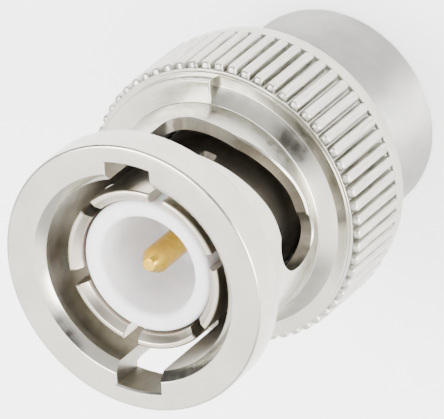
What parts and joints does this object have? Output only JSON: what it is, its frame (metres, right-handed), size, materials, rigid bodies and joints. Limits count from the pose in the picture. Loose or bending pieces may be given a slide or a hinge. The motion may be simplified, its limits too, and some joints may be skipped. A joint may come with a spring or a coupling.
{
  "type": "bnc terminating plug",
  "caption": "Coaxial bayonet plug with a knurled coupling nut, spring-finger outer contact, white insulator, gold centre pin and a plain closed rear shell.",
  "frame": {"origin": "middle of the flat rear end, on the plug's axis", "axes": "+Z along the plug's axis, out of the mating face; the nut's keyways lie on +X and -X"},
  "size_m": [0.0146, 0.0146, 0.0202],
  "materials": {
    "nickel_bright": "bright nickel plate with a soft, slightly mottled gloss",
    "nickel_satin": "satin nickel plate, turned",
    "spring_bronze": "nickel-plated spring bronze",
    "gold": "gold plate",
    "ptfe": "white, slightly translucent",
    "silicone": "soft silicone, matt",
    "spring_steel": "bright spring steel",
    "tinned": "bright tin",
    "ceramic": "unglazed alumina",
    "lacquer": "blue resistor lacquer",
    "solder": "smooth solder"
  },
  "bodies": {
    "plug": {"plug_body": "nickel_satin", "outer_contact": "spring_bronze", "interface_gasket": "silicone", "front_insulator": "ptfe", "centre_contact": "gold", "rear_insulator": "ptfe", "resistor_rod": "ceramic", "resistor_cap_front": "tinned", "resistor_cap_rear": "tinned", "resistor_coat": "lacquer", "lead_front": "tinned", "lead_rear": "tinned", "solder_front": "solder", "solder_rear": "solder", "earth_disc": "nickel_satin", "rear_shell": "nickel_satin", "wave_spring": "spring_steel"},
    "washer": {"thrust_washer": "nickel_satin"},
    "nut": {"coupling_nut": "nickel_bright", "retaining_ring": "spring_steel"}
  },
  "joints": [
    {"name": "nut_travel", "type": "slide", "parent": "plug", "child": "washer", "axis": [0, 0, 1], "range_m": [0, 0.0009], "stiffness_N_per_m": 8000, "springref_m": -0.0001, "deforming": ["wave_spring"]},
    {"name": "nut_turn", "type": "hinge", "parent": "washer", "child": "nut", "pos_m": [0, 0, 0.0075], "axis": [0, 0, 1], "continuous": true}
  ]
}
